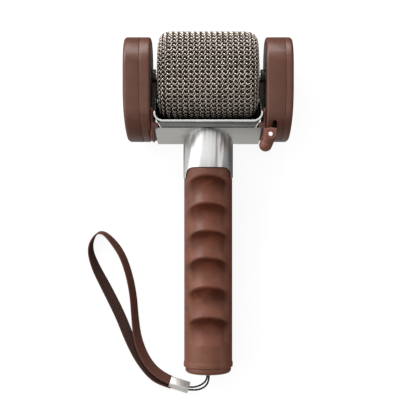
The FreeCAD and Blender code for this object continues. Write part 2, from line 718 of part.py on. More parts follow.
save("neck_tube", neck_tube())
save("core_tube", core_tube())
save("grip_sleeve", grip_sleeve())
save("end_cap", end_cap())
save("end_cap_screws", *[socket_screw(p, V(0, 1, 0), 1.1, 2.2, 0.9, 5.0) for p in end_cap_screw_places()])
save("lanyard_eyelet", lanyard_eyelet())
save("battery_tray", battery_tray())
save("battery_cell", battery_cell())
save("battery_contacts", *battery_contacts())
save("amplifier_board", amplifier_board())
save("saddle_bracket", saddle_bracket())
save("yoke_bar", yoke_bar())
save("cradle_rail", cradle_rail())
save("cradle", cradle())
save("cradle_screws", *[socket_screw(p, V(0, -1, 0), 1.5, 2.7, 0.9, 9.0) for p in cradle_screw_places()])
for hand in ("left", "right"):
    save(hand + "_foot", sided(foot(), hand))
    save(hand + "_arm", sided(arm(), hand))
    save(hand + "_bush", sided(bush(), hand))
    save(hand + "_trunnion", sided(trunnion(), hand))
    save(hand + "_inner_shell", sided(inner_shell(hand), hand))
    save(hand + "_outer_cover", sided(outer_cover(hand), hand))
    save(hand + "_seam_gasket", sided(seam_gasket(hand), hand))
    save(hand + "_side_plate", sided(side_plate(), hand))
    save(hand + "_speaker_grille", sided(speaker_grille(), hand))
    save(hand + "_speaker_basket", sided(speaker_basket(), hand))
    save(hand + "_speaker_magnet", sided(speaker_magnet(), hand))
    save(hand + "_speaker_cone", sided(speaker_cone(), hand))
    save(hand + "_pod_screws", *[sided(s, hand) for s in pod_screws()])
save("main_board", main_board())
save("slide_switch", slide_switch())
save("lever_plate", lug_plate())
save("lever_pin", lever_pin())
save("lever_barrel", lever_barrel())
save("lever_slider", lever_slider())
save("mesh_grille", mesh_grille())
save("foam_liner", foam_liner())
save("head_frame", head_frame())
save("capsule", capsule())
save("capsule_mount", capsule_mount())
save("strap", strap())
save("lanyard_cord", lanyard_cord())
save("strap_clamp", strap_clamp())
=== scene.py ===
"""The looks of a karaoke microphone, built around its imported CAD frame.

Lengths are in metres in the CAD frame: +X right, +Y along the handle towards the head, +Z up.
"""
import json
import math
import bmesh
import bpy
import numpy as np
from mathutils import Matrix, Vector

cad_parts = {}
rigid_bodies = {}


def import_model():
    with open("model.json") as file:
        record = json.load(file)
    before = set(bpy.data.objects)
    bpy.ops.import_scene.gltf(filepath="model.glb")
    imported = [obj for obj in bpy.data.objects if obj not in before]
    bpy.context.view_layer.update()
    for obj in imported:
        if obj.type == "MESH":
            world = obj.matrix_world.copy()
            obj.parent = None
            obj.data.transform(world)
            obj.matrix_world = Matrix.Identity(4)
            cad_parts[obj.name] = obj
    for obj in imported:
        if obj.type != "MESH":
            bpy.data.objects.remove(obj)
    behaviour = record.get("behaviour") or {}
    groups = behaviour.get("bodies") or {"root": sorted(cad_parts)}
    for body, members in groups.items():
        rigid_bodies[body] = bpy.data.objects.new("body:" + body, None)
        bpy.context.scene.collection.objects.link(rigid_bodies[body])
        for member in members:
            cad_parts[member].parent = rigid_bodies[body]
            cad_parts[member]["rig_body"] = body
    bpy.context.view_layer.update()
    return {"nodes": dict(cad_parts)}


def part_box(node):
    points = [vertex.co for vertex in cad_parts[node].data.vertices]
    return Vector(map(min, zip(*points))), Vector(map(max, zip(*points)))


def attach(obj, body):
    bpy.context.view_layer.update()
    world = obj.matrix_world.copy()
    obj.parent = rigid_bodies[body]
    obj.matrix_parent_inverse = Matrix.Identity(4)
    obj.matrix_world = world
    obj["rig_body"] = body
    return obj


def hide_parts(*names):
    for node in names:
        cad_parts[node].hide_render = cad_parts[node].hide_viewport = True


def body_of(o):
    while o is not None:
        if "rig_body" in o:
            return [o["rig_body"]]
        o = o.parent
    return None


MM = 0.001
for leftover in list(bpy.data.objects):
    bpy.data.objects.remove(leftover)
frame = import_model()

# ---- driving sizes ----

CAMERA_PLACE = (-0.14 * MM, -4.05 * MM, 717.5 * MM)
CAMERA_LENS = 85.5                    # millimetres, as Blender has it

CORD_D = 1.25 * MM
STRAP_WIDTH = 7.6 * MM
STRAP_THICK = 1.1 * MM
EDGE_HIGHLIGHT_TONE = 0.72                  # painted highlight along both edges of the band: share of the way from the dark thread to the pale one
WEAVE_RELIEF = 0.07 * MM

AXIS_Z = 17.5 * MM                    # handle's axis
GRIP_R = 17.0 * MM
GRIP_BORE = 14.7 * MM
FLARE = 0.4 * MM
TUBE_BORE = 16.0 * MM
TONGUE_TIP = 17.25 * MM
NOTCH_HALF = 15.6 * MM
NOTCH_R = 5.0 * MM
NOTCH_GAP = 0.3 * MM
PANEL_HALF = 14.2 * MM
DENT_EDGES = (19.6, 0.4, -18.8, -37.65, -58.0, -79.0, -99.4)
DENT_DEPTH = 2.0 * MM
DENT_BULGE = 2.6 * MM                 # how far a dent's middle is wider than the panel
DENT_PINCH = 3.4 * MM                 # and how much narrower its two ends are than that
DENT_SIDE = 5.5 * MM                  # width of the slope at a dent's side
DENT_ARCH = 3.6 * MM                  # how far a dent's edge falls from its middle to the panel's side

SADDLE_END = 30.0 * MM                # the saddle's ends lie further out than this
SADDLE_LEAN = 1.5 * MM                # how far they lean in, from the top edge to the bottom one
SADDLE_WIDER = 0.4 * MM               # how far they stand out at the top

HEAD_CENTRE = Vector((0, 88.15, 25.0)) * MM
HEAD_HALF = 35.5 * MM
HEAD_HIGH = 31.1 * MM
HEAD_DEEP = 24.0 * MM
HEAD_POWER = 2.5                      # of the superellipse that is the head's section
DOME_R = 400.0 * MM
HEAD_EDGE = 8.3 * MM
EDGE_ARC = 1.62                       # length of the head's rounded edge, in its radii
HEAD_EYE_R = 13.0 * MM                # the wires end here, under the hub's washer
WIRE_R = 0.38 * MM
WEAVE_COLUMN = 3.81 * MM
WEAVE_ROW = 3.51 * MM
WEAVE_CRIMP = 0.50 * MM
FOAM_INSET = 2.1 * MM
FOAM_EYE_R = 6.0 * MM

# radius in millimetres, and the millimetres that it stands off the head's end before it is flattened
WASHER_PROFILE = (
    (4.4, 0.6), (6.0, 0.9), (9.0, 0.9), (12.0, 0.7), (14.2, 0.35), (15.0, -0.1), (15.2, -0.7), (14.6, -1.1),
)
WASHER_DISH = 0.12                    # share of that height which is left, clear of the arms

# the cradle, all in millimetres
CRADLE_HALF = 36.0
CRADLE_FLOOR = 55.85
CRADLE_BEND = 5.0
CRADLE_ROWS = (*np.linspace(3.0, 21.0, 8), *np.linspace(22.0, 28.0, 4), *np.linspace(29.0, 46.0, 8))
# the dark sheet of painted shade inside the cradle reaches this high, and higher at its two crests
SHADE_SHEET_TOP = 61.0
CREST_Z = 25.0                        # the sides rise to a flat crest round this height
CREST_FLAT = 3.0
CREST_FOOT = 17.0
CREST_RISE = 10.6
WALL_Z = 2.8
WALL_TOP = 61.2

LANYARD_ROUTE = (
    (-0.65, -118.65, 17.5), (-0.65, -122.3, 17.1), (-1.0, -125.6, 14.6), (-2.4, -128.6, 11.0),
    (-5.4, -131.4, 7.2), (-9.3, -133.2, 4.6), (-12.9, -133.5, 3.6), (-15.9, -133.0, 3.4),
    (-18.5, -132.2, 3.4), (-19.1, -134.6, 3.4), (-16.4, -135.3, 3.4), (-12.6, -135.4, 3.6),
    (-8.2, -135.3, 4.8), (-4.2, -133.6, 7.8), (-1.2, -130.6, 11.8), (0.2, -127.0, 15.2),
    (0.65, -122.6, 17.2), (0.65, -118.65, 17.5),
)
STRAP_ROUTE = (
    (-26.6, -131.6), (-33.5, -129.4), (-40.8, -124.9), (-49.8, -113.2), (-56.9, -99.1),
    (-63.9, -81.4), (-73.3, -62.4), (-82.0, -45.8), (-85.8, -32.7), (-81.9, -23.2),
    (-76.9, -21.1), (-70.9, -25.5), (-62.5, -36.7), (-57.4, -50.8), (-54.1, -67.0),
    (-53.0, -82.8), (-51.1, -99.0), (-45.1, -113.9), (-35.5, -124.7), (-26.1, -128.7),
)
# share of the strap's length, and how far the band is turned up from lying flat, in degrees
STRAP_TURNS = (
    (0.00, 52), (0.05, 40), (0.12, 16), (0.24, 9), (0.34, 24), (0.41, 46), (0.475, 78),
    (0.52, 104), (0.57, 122), (0.66, 124), (0.78, 128), (0.88, 140), (0.95, 140), (1.00, 134),
)
# share of the strap's length, and how far its lower edge is lifted off the floor, in millimetres
STRAP_LIFTS = ((0.0, 0.3), (0.05, 0.1), (0.12, 0.05), (0.80, 0.05), (0.90, 1.3), (0.95, 1.5), (1.0, 1.4))


# ---- small helpers ----

def add_mesh(name, points, faces):
    data = bpy.data.meshes.new(name)
    data.from_pydata([tuple(p) for p in points], [], [tuple(int(i) for i in f) for f in faces])
    data.validate()
    data.update()
    data.shade_smooth()
    made = bpy.data.objects.new(name, data)
    bpy.context.collection.objects.link(made)
    return made


def face_outward(piece):
    work = bmesh.new()
    work.from_mesh(piece.data)
    bmesh.ops.recalc_face_normals(work, faces=work.faces)
    work.to_mesh(piece.data)
    work.free()
    return piece


def carry(piece, name, values):
    """Store one number per vertex for a material to read."""
    held = piece.data.attributes.new(name, "FLOAT", "POINT")
    held.data.foreach_set("value", np.clip(values, 0, 1).ravel().astype(np.float32))


def finish_piece(piece, look, body, slot, *nodes):
    """Give a piece its material and its body, and hide the CAD nodes that it stands for; slot is not used."""
    piece.data.materials.clear()
    piece.data.materials.append(look)
    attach(piece, body)
    if nodes:
        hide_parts(*nodes)
    return piece


def grid_faces(rows, columns, wrap_columns, start=0):
    """Quads of a grid of points, with its columns closed into a ring if wrap_columns."""
    last = columns if wrap_columns else columns - 1
    r, c = np.meshgrid(np.arange(rows - 1), np.arange(last), indexing="ij")
    after = (c + 1) % columns
    quads = np.stack([r * columns + c, r * columns + after,
                      (r + 1) * columns + after, (r + 1) * columns + c], axis=-1)
    return quads.reshape(-1, 4) + start


def smoothstep(low, high, value):
    t = np.clip((value - low) / (high - low), 0, 1)
    return t * t * (3 - 2 * t)


def unit(vectors):
    return vectors / np.linalg.norm(vectors, axis=-1, keepdims=True)


def spline_points(name, route, spacing):
    """Points every spacing along the NURBS line of a route in millimetres, read from Blender's own curve."""
    data = bpy.data.curves.new(name, "CURVE")
    data.dimensions = "3D"
    data.resolution_u = 24
    spline = data.splines.new("NURBS")
    spline.points.add(len(route) - 1)
    for point, place in zip(spline.points, route):
        point.co = (*(c * MM for c in place), 1)
    spline.order_u = 3
    spline.use_endpoint_u = True
    curve = bpy.data.objects.new(name, data)
    bpy.context.collection.objects.link(curve)
    bpy.context.view_layer.update()
    line = bpy.data.meshes.new_from_object(curve)
    points = np.array([v.co for v in line.vertices], float)
    bpy.data.objects.remove(curve)
    bpy.data.meshes.remove(line)
    steps = np.linalg.norm(np.diff(points, axis=0), axis=1)
    along = np.concatenate([[0], np.cumsum(steps)])
    wanted = np.linspace(0, along[-1], int(round(along[-1] / spacing)) + 1)
    return np.stack([np.interp(wanted, along, points[:, k]) for k in range(3)], axis=1)


# ---- camera ----

def place_camera():
    """Straight above the microphone, looking down."""
    data = bpy.data.cameras.new("camera")
    data.lens = CAMERA_LENS
    camera = bpy.data.objects.new("camera", data)
    camera.location = CAMERA_PLACE
    bpy.context.collection.objects.link(camera)
    bpy.context.scene.camera = camera


# ---- materials ----

class Look:
    """A Principled material, with short calls for the nodes that feed it."""

    def __init__(self, name, **fixed):
        self.material = bpy.data.materials.new(name)
        self.material.use_nodes = True
        self.nodes = self.material.node_tree.nodes
        self.links = self.material.node_tree.links
        self.shader = self.nodes["Principled BSDF"]
        for socket, value in fixed.items():
            self.shader.inputs[socket.replace("_", " ")].default_value = value
        self.place = self.nodes.new("ShaderNodeTexCoord").outputs["Object"]

    def feed(self, node, **values):
        for socket, value in values.items():
            target = node.inputs[socket]
            if isinstance(value, bpy.types.NodeSocket):
                self.links.new(value, target)
            else:
                target.default_value = value

    def scaled(self, size):
        """Place divided by a size in millimetres, one for each axis."""
        node = self.nodes.new("ShaderNodeMapping")
        self.feed(node, Vector=self.place, Scale=tuple(1 / (s * MM) for s in size))
        return node.outputs["Vector"]

    def noise(self, size, detail=2.0, roughness=0.5):
        node = self.nodes.new("ShaderNodeTexNoise")
        self.feed(node, Vector=self.scaled(size), Scale=1.0, Detail=detail, Roughness=roughness)
        return node.outputs["Fac"]

    def cells(self, size, randomness=1.0):
        node = self.nodes.new("ShaderNodeTexVoronoi")
        self.feed(node, Vector=self.scaled(size), Scale=1.0, Randomness=randomness)
        return node.outputs["Distance"]

    def held(self, name):
        node = self.nodes.new("ShaderNodeAttribute")
        node.attribute_name = name
        return node.outputs["Fac"]

    def blend(self, factor, low, high, start=0.3, end=0.7):
        """A colour between low and high as factor goes from start to end."""
        ramp = self.nodes.new("ShaderNodeValToRGB")
        ramp.color_ramp.elements[0].position = start
        ramp.color_ramp.elements[1].position = end
        ramp.color_ramp.elements[0].color = (*low, 1)
        ramp.color_ramp.elements[1].color = (*high, 1)
        self.links.new(factor, ramp.inputs["Fac"])
        return ramp.outputs["Color"]

    def between(self, factor, low, high, start=0.3, end=0.7):
        """A number between low and high as factor goes from start to end."""
        node = self.nodes.new("ShaderNodeMapRange")
        self.feed(node, Value=factor)
        for socket, value in zip(("From Min", "From Max", "To Min", "To Max"), (start, end, low, high)):
            node.inputs[socket].default_value = value
        return node.outputs["Result"]

    def sum(self, first, second, share=1.0):
        """first plus share times second."""
        node = self.nodes.new("ShaderNodeMath")
        node.operation = "MULTIPLY_ADD"
        self.links.new(second, node.inputs[0])
        node.inputs[1].default_value = share
        self.links.new(first, node.inputs[2])
        return node.outputs["Value"]

    def colour(self, socket):
        self.links.new(socket, self.shader.inputs["Base Color"])

    def rough(self, socket):
        self.links.new(socket, self.shader.inputs["Roughness"])

    def shine(self, socket):
        self.links.new(socket, self.shader.inputs["Specular IOR Level"])

    def bump(self, height, deep):
        """Relief of deep millimetres from a height of 0 to 1."""
        node = self.nodes.new("ShaderNodeBump")
        self.feed(node, Height=height, Distance=deep * MM, Strength=1.0)
        self.links.new(node.outputs["Normal"], self.shader.inputs["Normal"])


def brushed(name, low, high, rough, grain, turned=0.0):
    """Satin metal with streaks along the long axis of grain. Turned metal spreads gloss along Y."""
    look = Look(name, Metallic=1.0, Anisotropic=turned, Anisotropic_Rotation=0.25)
    if turned:
        around = look.nodes.new("ShaderNodeTangent")
        around.direction_type = "RADIAL"
        around.axis = "Y"
        look.links.new(around.outputs["Tangent"], look.shader.inputs["Tangent"])
    streaks = look.noise(grain, detail=3.0, roughness=0.6)
    patches = look.noise((9, 9, 9), detail=2.0)
    look.colour(look.blend(look.sum(streaks, patches, 0.35), low, high, 0.45, 0.95))
    look.rough(look.between(streaks, rough[0], rough[1]))
    look.bump(streaks, 0.0015)
    return look.material


def leather(name, shade_colour, dark, light):
    """Fine leather, darkened and made less glossy by painted shade where the mesh marks the upper part of a
    finger dent.
    """
    look = Look(name)
    pores = look.cells((0.55, 0.7, 0.55))
    creases = look.noise((1.9, 1.3, 1.9), detail=4.0, roughness=0.6)
    patches = look.noise((11, 8, 11), detail=3.0)
    worn = look.held("worn")
    # painted shade: darker tone and less gloss in the upper part of each finger dent
    tone = look.sum(look.sum(patches, creases, 0.25), worn, -0.70)
    look.shine(look.between(worn, 0.5, 0.12, 0.05, 0.7))
    ramp = look.blend(tone, shade_colour, light, 0.0, 0.82)
    ramp.node.color_ramp.elements.new(0.42).color = (*dark, 1)
    look.colour(ramp)
    look.rough(look.between(creases, 0.31, 0.42))
    look.bump(look.sum(pores, creases, 0.9), 0.05)
    return look.material


def satin_brown(name, dark, light):
    """Satin painted shell with a faint grain and slow changes of tone."""
    look = Look(name, Specular_IOR_Level=0.5)
    grain = look.noise((0.5, 0.5, 0.5), detail=3.0, roughness=0.6)
    patches = look.noise((14, 5, 14), detail=4.0, roughness=0.55)
    look.colour(look.blend(look.sum(patches, grain, 0.2), dark, light, 0.42, 0.78))
    look.rough(look.between(patches, 0.34, 0.46))
    look.bump(look.sum(grain, patches, 1.5), 0.03)
    return look.material


def moulded(name, dark, light, rough=(0.4, 0.6), metallic=0.0, grain=0.4, deep=0.02, shine=0.5):
    """Plain moulded, painted or machined surface with a fine even grain."""
    look = Look(name, Metallic=metallic, Specular_IOR_Level=shine)
    speckle = look.noise((grain, grain, grain), detail=2.0)
    patches = look.noise((7, 7, 7), detail=2.0)
    look.colour(look.blend(look.sum(patches, speckle, 0.3), dark, light, 0.45, 0.85))
    look.rough(look.between(patches, rough[0], rough[1]))
    look.bump(speckle, deep)
    return look.material


def foam_look():
    """Open-cell foam, almost black."""
    look = Look("foam_black", Roughness=0.95)
    cells = look.cells((0.9, 0.9, 0.9))
    specks = look.noise((2.2, 2.2, 2.2), detail=4.0, roughness=0.7)
    tone = look.sum(cells, specks, 0.6)
    look.colour(look.blend(tone, (0.004, 0.003, 0.002), (0.036, 0.022, 0.014), 0.45, 1.1))
    look.bump(look.sum(cells, specks, 0.5), 0.5)
    return look.material


def wire_look():
    """Bare nickel-coloured wire with patches of tarnish."""
    look = Look("mesh_wire", Metallic=1.0)
    wear = look.noise((1.2, 1.2, 1.2), detail=3.0, roughness=0.6)
    tarnish = look.noise((6, 6, 6), detail=2.0)
    tone = look.sum(wear, tarnish, 0.5)
    look.colour(look.blend(tone, (0.26, 0.22, 0.185), (0.66, 0.60, 0.54), 0.5, 1.0))
    look.rough(look.between(wear, 0.18, 0.30))
    look.bump(wear, 0.02)
    return look.material


def braided(name, dark, light, pitch, deep):
    """Braided thread, with a cell for each crossing and a little fuzz."""
    look = Look(name, Roughness=0.8, Specular_IOR_Level=0.15)
    threads = look.cells((pitch, pitch, pitch), randomness=0.6)
    fuzz = look.noise((pitch * 1.5, pitch * 1.5, pitch * 1.5), detail=4.0, roughness=0.7)
    look.colour(look.blend(look.sum(threads, fuzz, 0.7), light, dark, 0.35, 0.95))
    look.bump(look.sum(threads, fuzz, 0.5), -deep)
    return look.material


def webbing(name, dark, light):
    """Woven webbing: its mesh carries how pale each thread is, with a painted highlight along the band's
    edges, and this adds the fine fibres.
    """
    look = Look(name, Roughness=0.72, Specular_IOR_Level=0.3, Sheen_Weight=0.04, Sheen_Roughness=0.4)
    fibres = look.noise((0.35, 0.35, 0.35), detail=4.0, roughness=0.7)
    look.colour(look.blend(look.sum(look.held("tone"), fibres, 0.35), dark, light, 0.15, 1.15))
    look.bump(fibres, 0.05)
    return look.material


def floor_look():
    """The pale ground, which glows so that only soft shadows show on it."""
    look = Look("floor", Roughness=0.9, Specular_IOR_Level=0.1, Base_Color=(0.16, 0.16, 0.16, 1))
    look.shader.inputs["Emission Color"].default_value = (1, 1, 1, 1)
    look.shader.inputs["Emission Strength"].default_value = 0.88
    return look.material


LOOK_LIST = (
    brushed("brushed_silver", (0.80, 0.80, 0.79), (0.87, 0.87, 0.86), (0.27, 0.32), (1.6, 26, 1.6),
            turned=0.85),
    # the saddle, rail and cradle lip are the tube's silver painted darker, as painted shade and dim
    # reflection; the rail is much darker than the rest
    brushed("sheet_silver", (0.46, 0.455, 0.44), (0.53, 0.525, 0.51), (0.28, 0.36), (30, 0.7, 0.7)),
    brushed("rail_silver", (0.11, 0.115, 0.11), (0.19, 0.195, 0.19), (0.2, 0.3), (30, 0.7, 0.7)),
    brushed("lip_silver", (0.60, 0.61, 0.60), (0.70, 0.71, 0.70), (0.2, 0.3), (30, 0.7, 0.7)),
    moulded("clamp_silver", (0.60, 0.58, 0.545), (0.70, 0.68, 0.645), (0.34, 0.44), 0.55),
    # the leather's first colour is the painted shade in the upper part of each finger dent
    leather("grip_leather", (0.052, 0.0105, 0.0035), (0.116, 0.030, 0.0125), (0.158, 0.047, 0.0215)),
    satin_brown("pod_brown", (0.078, 0.022, 0.010), (0.094, 0.029, 0.0135)),
    satin_brown("lever_brown", (0.125, 0.038, 0.020), (0.155, 0.050, 0.028)),
    satin_brown("hub_brown", (0.022, 0.007, 0.004), (0.032, 0.011, 0.007)),
    moulded("dark_plastic", (0.006, 0.004, 0.0035), (0.012, 0.008, 0.007)),
    moulded("plate_grey", (0.22, 0.21, 0.20), (0.30, 0.29, 0.27), (0.3, 0.45), 0.6),
    wire_look(),
    foam_look(),
    moulded("steel", (0.45, 0.45, 0.45), (0.6, 0.6, 0.6), (0.25, 0.4), 1.0),
    moulded("pin_bright", (0.93, 0.93, 0.92), (0.97, 0.97, 0.97), (0.3, 0.4), deep=0.005),
    moulded("nylon", (0.10, 0.10, 0.10), (0.14, 0.14, 0.14)),
    moulded("rubber_black", (0.012, 0.010, 0.009), (0.022, 0.019, 0.017), (0.6, 0.8)),
    moulded("speaker_black", (0.020, 0.019, 0.018), (0.035, 0.033, 0.031), (0.35, 0.5), 0.3),
    moulded("cone_paper", (0.05, 0.046, 0.042), (0.085, 0.08, 0.072), (0.8, 0.95), deep=0.08),
    moulded("circuit_green", (0.012, 0.11, 0.045), (0.03, 0.19, 0.09), (0.25, 0.4)),
    moulded("battery_sleeve", (0.03, 0.12, 0.30), (0.06, 0.17, 0.38), (0.2, 0.3)),
    brushed("capsule_metal", (0.55, 0.53, 0.47), (0.74, 0.72, 0.65), (0.3, 0.4), (0.6, 9, 0.6)),
    braided("cord_black", (0.004, 0.004, 0.004), (0.012, 0.012, 0.011), 0.25, 0.02),
    webbing("strap_brown", (0.010, 0.0032, 0.0018), (0.130, 0.046, 0.029)),
    moulded("lining_black", (0.006, 0.008, 0.008), (0.014, 0.017, 0.017), (0.5, 0.7),
            deep=0.04, shine=0.04),
)
LOOKS = {look.name.split(".")[0]: look for look in LOOK_LIST}


# ---- cords ----

def carried_frames(points):
    """Directions across a line that are carried along it without turning about it."""
    tangent = unit(np.gradient(points, axis=0))
    first = np.cross(tangent[0], (0.0, 0.0, 1.0))
    if np.linalg.norm(first) < 0.1:
        first = np.cross(tangent[0], (1.0, 0.0, 0.0))
    across = [first / np.linalg.norm(first)]
    for direction in tangent[1:]:
        carried = across[-1] - direction * np.dot(across[-1], direction)
        across.append(carried / np.linalg.norm(carried))
    across = np.array(across)
    return across, np.cross(tangent, across)


def closed_tube(name, points, ring_offsets, first_axis, second_axis):
    """A tube whose ring at each point has the offsets (a, b) along the two axes there."""
    rows, sides = ring_offsets.shape[:2]
    rings = (points[:, None] + ring_offsets[..., :1] * first_axis[:, None]
             + ring_offsets[..., 1:] * second_axis[:, None])
    vertices = rings.reshape(-1, 3)
    faces = [tuple(q) for q in grid_faces(rows, sides, True)]
    faces.append(tuple(range(sides)))
    faces.append(tuple(reversed(range((rows - 1) * sides, rows * sides))))
    return face_outward(add_mesh(name, vertices, faces))


def lanyard_cord():
    """A round braided cord: eight strands wind round it both ways and stand out where they cross."""
    step = 0.2 * MM
    points = spline_points("lanyard_line", LANYARD_ROUTE, step)
    sides, strands, lay = 16, 4, 3.2 * MM
    angle = np.linspace(0, 2 * math.pi, sides, endpoint=False)[None]
    along = (np.arange(len(points)) * step / lay)[:, None] * 2 * math.pi
    braid = np.abs(np.sin((strands * angle + along) / 2) * np.sin((strands * angle - along) / 2))
    radius = CORD_D / 2 * (0.96 + 0.12 * braid)
    offsets = np.stack([radius * np.cos(angle), radius * np.sin(angle)], axis=-1)
    across, third = carried_frames(points)
    cord = closed_tube("lanyard_cord_braid", points, offsets, across, third)
    finish_piece(cord, LOOKS["cord_black"], "handle", "cord_black", "lanyard_cord")
    return cord, points


def strap_section(columns):
    """Offsets across and through the band for one ring, thinner towards its two edges."""
    half_width, half_thick = STRAP_WIDTH / 2, STRAP_THICK / 2
    across = np.linspace(-1, 1, columns)
    edge = np.sqrt(np.clip(1 - np.abs(across) ** 10, 0, 1))
    face = half_thick * (0.35 + 0.65 * edge)
    top = np.stack([across * half_width, face], axis=-1)
    under = np.stack([across[::-1] * half_width, -face[::-1]], axis=-1)
    return np.concatenate([top, under])


def strap_band():
    """The woven band: twisted along its route, standing on its lower edge where the loop turns."""
    step = 0.35 * MM
    line = spline_points("strap_line", [(x, y, 0) for x, y in STRAP_ROUTE], step)
    share = np.linspace(0, 1, len(line))
    turn = np.radians(np.interp(share, *zip(*STRAP_TURNS)))
    window = 41
    kernel = np.hanning(window) / np.hanning(window).sum()
    turn = np.convolve(np.pad(turn, window // 2, mode="edge"), kernel, mode="valid")
    lift = np.interp(share, *zip(*STRAP_LIFTS)) * MM
    rise = STRAP_WIDTH / 2 * np.sin(turn) + STRAP_THICK / 2 * np.abs(np.cos(turn))
    centre = line + np.stack([np.zeros_like(share), np.zeros_like(share), rise + lift], axis=1)
    tangent = unit(np.gradient(line, axis=0))
    up = np.array([0.0, 0.0, 1.0])
    level = unit(np.cross(tangent, up))
    across = -np.cos(turn)[:, None] * level + np.sin(turn)[:, None] * up
    across = unit(across - tangent * np.sum(across * tangent, axis=1, keepdims=True))
    through = np.cross(tangent, across)
    ring = strap_section(33)
    offsets = np.repeat(ring[None], len(centre), axis=0)
    ribs, pick = 1.35 * MM, 1.5 * MM
    run = (np.arange(len(centre)) * step)[:, None]
    wide = offsets[..., 0]
    weave = np.cos(2 * math.pi * wide / ribs) * 0.5 + np.cos(2 * math.pi * (run + wide * 0.9) / pick) * 0.5
    weave += 0.6 * np.cos(math.pi * wide / ribs) * np.cos(math.pi * run / pick)
    inside = smoothstep(0, 0.5 * MM, STRAP_WIDTH / 2 - np.abs(wide))
    outer_face = offsets[..., 1] < 0
    tone = np.where(outer_face, 0.52, 0.12) + np.where(outer_face, 0.14, 0.24) * weave
    # the band's two edges are painted paler: a painted highlight
    tone = np.where(inside < 0.6, EDGE_HIGHLIGHT_TONE, tone)
    offsets[..., 1] += np.sign(offsets[..., 1]) * weave * inside * WEAVE_RELIEF
    band = closed_tube("strap_band", centre, offsets, across, through)
    carry(band, "tone", tone)
    finish_piece(band, LOOKS["strap_brown"], "handle", "strap_brown", "strap")
    return band, centre


# ---- softened copies of CAD nodes ----

def softened(node, width, look, slot):
    """A copy of a CAD node with its sharp edges rounded by width millimetres, standing for that node."""
    source = frame["nodes"][node]
    data = source.data.copy()
    work = bmesh.new()
    work.from_mesh(data)
    bmesh.ops.remove_doubles(work, verts=work.verts, dist=2e-6)
    bmesh.ops.dissolve_limit(work, angle_limit=math.radians(0.6), verts=work.verts, edges=work.edges)
    work.to_mesh(data)
    work.free()
    data.shade_smooth()
    piece = bpy.data.objects.new(node + "_finished", data)
    bpy.context.collection.objects.link(piece)
    bevel = piece.modifiers.new("edges", "BEVEL")
    bevel.width = width * MM
    bevel.segments = 2
    bevel.limit_method = "ANGLE"
    bevel.angle_limit = math.radians(32)
    bevel.use_clamp_overlap = True
    bevel.harden_normals = True
    return finish_piece(piece, LOOKS[look], body_of(source)[0], slot, node)


# CAD node: width of its rounded edges in millimetres, look, material slot
BEVELS = {
    "neck_tube": (0.30, "brushed_silver", "brushed_silver"),
    "saddle_bracket": (0.45, "sheet_silver", "brushed_silver"),
    "cradle_rail": (0.35, "rail_silver", "brushed_silver"),
    "cradle": (0.40, "lip_silver", "brushed_silver"),
    "strap_clamp": (0.30, "clamp_silver", "clamp_silver"),
    "end_cap": (0.25, "grip_leather", "grip_leather"),
    "lanyard_eyelet": (0.2, "steel", "steel"),
    "lever_plate": (0.35, "lever_brown", "lever_brown"),
    "lever_barrel": (0.45, "lever_brown", "lever_brown"),
    "lever_pin": (0.25, "pin_bright", "pin_bright"),
}
# the same for the parts that each pod has
POD_BEVELS = {
    # the feet take the lighter lever brown, not the pods' own brown: painted light on their lit front faces
    "foot": (0.9, "lever_brown", "pod_brown"),
    "arm": (0.5, "hub_brown", "dark_plastic"),
    "inner_shell": (0.22, "pod_brown", "pod_brown"),
    "outer_cover": (0.22, "pod_brown", "pod_brown"),
    "side_plate": (0.2, "plate_grey", "plate_grey"),
    "speaker_grille": (0.18, "speaker_black", "speaker_black"),
}
for part, values in POD_BEVELS.items():
    BEVELS["left_" + part] = values
    BEVELS["right_" + part] = values


def taper_saddle():
    """Lean the saddle's two ends in towards the grip."""
    piece = bpy.data.objects["saddle_bracket_finished"]
    low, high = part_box("saddle_bracket")
    for vertex in piece.data.vertices:
        if abs(vertex.co.x) > SADDLE_END:
            share = (high.y - vertex.co.y) / (high.y - low.y)
            vertex.co.x -= math.copysign(SADDLE_LEAN * share - SADDLE_WIDER, vertex.co.x)


# ---- grip ----

def finger_dents(x, y, front):
    """Depth of the finger dents, and how much painted shade a point gets in the upper part of one."""
    arch = DENT_ARCH * (x / PANEL_HALF) ** 2
    depth, upper = np.zeros_like(x), np.zeros_like(x)
    for high, low in zip(DENT_EDGES, DENT_EDGES[1:]):
        share = np.clip((high * MM - arch - y) / ((high - low) * MM), 0, 1)
        dip = np.sin(math.pi * share ** 0.85)
        half = PANEL_HALF + DENT_BULGE - DENT_PINCH * (2 * share - 1) ** 4
        side = smoothstep(0, DENT_SIDE, half - np.abs(x))
        depth += DENT_DEPTH * dip * side
        # painted shade in the upper part of each dent, strongest just below its edge
        upper += side * smoothstep(0, 0.12, share) * np.clip(1.08 - share / 0.75, 0, 1)
    return depth * front, upper * front


def notch_distance(x, y, top):
    """How far a point lies inside the notch between the neck tube's two tongues."""
    half = NOTCH_HALF - NOTCH_GAP
    corner = NOTCH_R - NOTCH_GAP
    beside = np.abs(x) - (half - corner)
    above = y - (top - corner)
    inside = np.minimum(half - np.abs(x), top - y)
    in_corner = (beside > 0) & (above > 0)
    return np.where(in_corner, corner - np.hypot(beside, above), inside)


